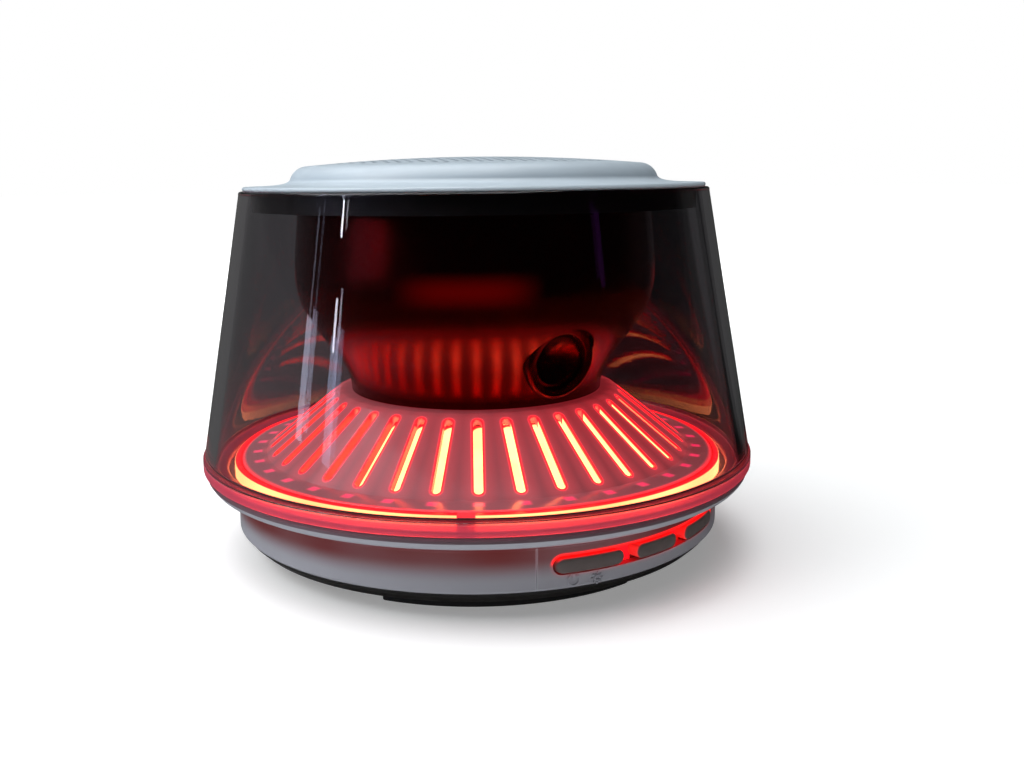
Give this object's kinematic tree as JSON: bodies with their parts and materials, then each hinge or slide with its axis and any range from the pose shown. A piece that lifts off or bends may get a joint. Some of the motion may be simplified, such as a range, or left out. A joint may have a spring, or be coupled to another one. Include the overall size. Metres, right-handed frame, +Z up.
{
  "type": "alarm siren",
  "caption": "Table-top alarm siren: smoked cone lens over a lit, slotted deck, sounder column under a perforated cap, push-button row in a round base.",
  "frame": {"origin": "centre of the plane that the feet rest on", "axes": "+Z up along the axis of the lens; -Y towards the control panel, so +X is to the right of someone facing the buttons"},
  "size_m": [0.13, 0.13, 0.0905],
  "materials": {
    "foot_rubber": "matte",
    "dark_plastic": "satin",
    "screw_steel": "zinc plated",
    "white_plastic": "satin, slightly translucent",
    "button_plastic": "matte",
    "light_guide": "lit acrylic",
    "circuit_board": "solder mask",
    "black_plastic": "matte",
    "battery_foil": "pouch foil",
    "component_black": "moulded",
    "socket_steel": "drawn steel",
    "led_board_white": "white solder mask",
    "led_package": "lit",
    "diffuser": "milky, lit",
    "deck_plastic": "satin",
    "gasket_rubber": "matte",
    "smoked_lens": "clear smoked, polished",
    "black_gloss": "polished black",
    "magnet_steel": "turned",
    "ferrite": "fired",
    "copper_coil": "enamelled wire",
    "cone_paper": "pressed pulp",
    "surround_rubber": "satin",
    "spider_cloth": "impregnated cloth",
    "terminal_brass": "tinned",
    "black_screw": "black oxide",
    "top_white_plastic": "satin",
    "grille_fabric": "acoustic cloth",
    "wire_insulation": "satin"
  },
  "bodies": {
    "housing": {"feet": "foot_rubber", "bottom_cover": "dark_plastic", "cover_screws": "screw_steel", "base_housing": "white_plastic", "control_panel": "white_plastic", "button_light_strip": "light_guide", "switch_board": "circuit_board", "tact_switches": "black_plastic", "battery": "battery_foil", "battery_strap": "dark_plastic", "main_board": "circuit_board", "board_components": "component_black", "board_screws": "screw_steel", "socket_board": "circuit_board", "charge_socket": "socket_steel", "led_board": "led_board_white", "leds": "led_package", "deck_screws": "screw_steel", "light_guide_ring": "light_guide", "slot_diffuser": "diffuser", "slotted_deck": "deck_plastic", "lens_gasket": "gasket_rubber", "lens": "smoked_lens", "siren_column": "black_gloss", "column_screws": "screw_steel", "column_dish": "black_gloss", "column_dish_ring": "black_gloss", "top_carrier": "dark_plastic", "driver_frame": "black_plastic", "driver_yoke": "magnet_steel", "driver_magnet": "ferrite", "driver_top_plate": "magnet_steel", "surround": "surround_rubber", "spider": "spider_cloth", "driver_terminals": "terminal_brass", "driver_screws": "black_screw", "top_cover": "top_white_plastic", "grille_plate": "top_white_plastic", "grille_cloth": "grille_fabric", "sounder_leads": "wire_insulation", "battery_leads": "wire_insulation", "light_leads": "wire_insulation", "switch_leads": "wire_insulation", "socket_leads": "wire_insulation"},
    "power_body": {"power_button": "button_plastic"},
    "mode_body": {"mode_button": "button_plastic"},
    "test_body": {"test_button": "button_plastic"},
    "diaphragm": {"voice_coil": "copper_coil", "driver_cone": "cone_paper", "dust_cap": "cone_paper"}
  },
  "joints": [
    {"name": "power_press", "type": "slide", "parent": "housing", "child": "power_body", "axis": [0, 1, 0], "range_m": [0, 0.0006], "stiffness_N_per_m": 1200, "springref_m": -0.0004},
    {"name": "mode_press", "type": "slide", "parent": "housing", "child": "mode_body", "axis": [0, 1, 0], "range_m": [0, 0.0006], "stiffness_N_per_m": 1200, "springref_m": -0.0004},
    {"name": "test_press", "type": "slide", "parent": "housing", "child": "test_body", "axis": [0, 1, 0], "range_m": [0, 0.0006], "stiffness_N_per_m": 1200, "springref_m": -0.0004},
    {"name": "diaphragm_travel", "type": "slide", "parent": "housing", "child": "diaphragm", "axis": [0, 0, 1], "range_m": [-0.001, 0.001], "stiffness_N_per_m": 900, "deforming": ["surround", "spider"]}
  ]
}
